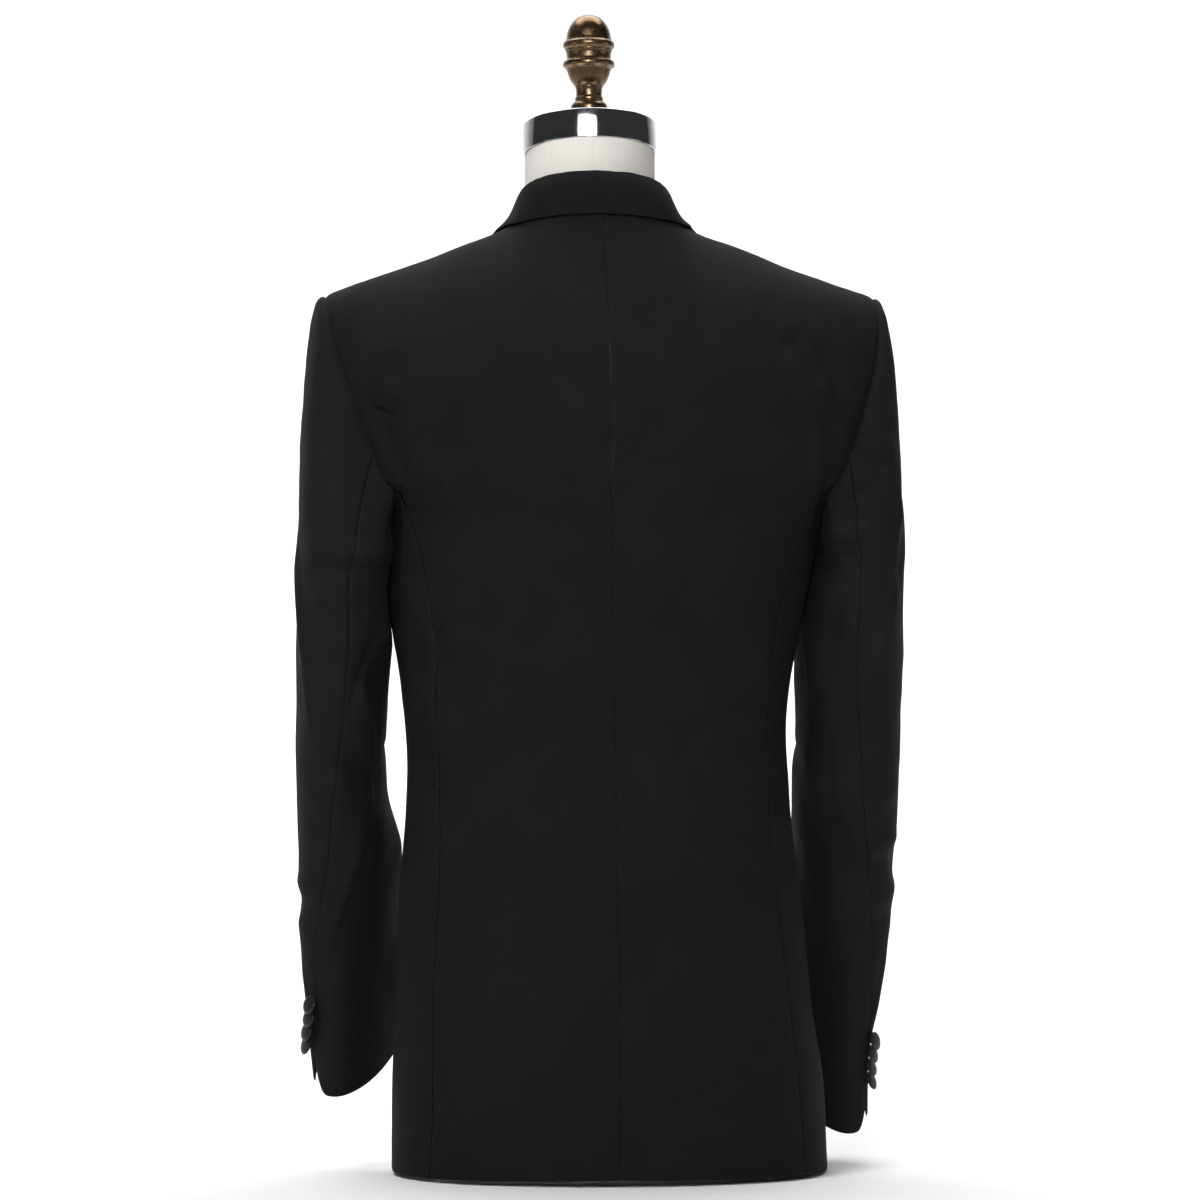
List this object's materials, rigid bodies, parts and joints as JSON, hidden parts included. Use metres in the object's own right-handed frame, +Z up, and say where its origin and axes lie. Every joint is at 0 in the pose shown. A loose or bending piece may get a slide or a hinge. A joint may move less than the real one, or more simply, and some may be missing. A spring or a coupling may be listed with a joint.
{
  "type": "tuxedo jacket on a limbless dress form",
  "caption": "Black tailored dinner jacket with peak lapels and hanging two-piece sleeves, shown on a smooth linen dress form with a chrome neck cap and a turned finial.",
  "frame": {"origin": "on the flat underside of the dress form, below the middle of its neck, where the part meets a counter or floor", "axes": "+Z up, +X towards the wearer's left, -Y the way the wearer faces, so the back of the jacket faces +Y"},
  "size_m": [0.4748, 0.2926, 0.9042],
  "materials": {
    "wool": "matt black worsted",
    "silk": "black silk facing with a soft sheen",
    "linen": "natural linen cover, matt",
    "chrome": "polished",
    "bronze": "aged bronze, satin"
  },
  "bodies": {
    "root": {"back_left": "wool", "back_right": "wool", "side_left": "wool", "side_right": "wool", "front_left": "wool", "front_right": "wool", "collar": "wool", "top_sleeve_left": "wool", "top_sleeve_right": "wool", "under_sleeve_left": "wool", "under_sleeve_right": "wool", "breast_welt": "wool", "lapel_left": "silk", "lapel_right": "silk", "pocket_jet_left": "silk", "pocket_jet_right": "silk", "front_button": "silk", "cuff_button_left_1": "silk", "cuff_button_left_2": "silk", "cuff_button_left_3": "silk", "cuff_button_left_4": "silk", "cuff_button_right_1": "silk", "cuff_button_right_2": "silk", "cuff_button_right_3": "silk", "cuff_button_right_4": "silk", "form_torso": "linen", "form_neck_cap": "chrome", "form_finial": "bronze"}
  },
  "joints": []
}
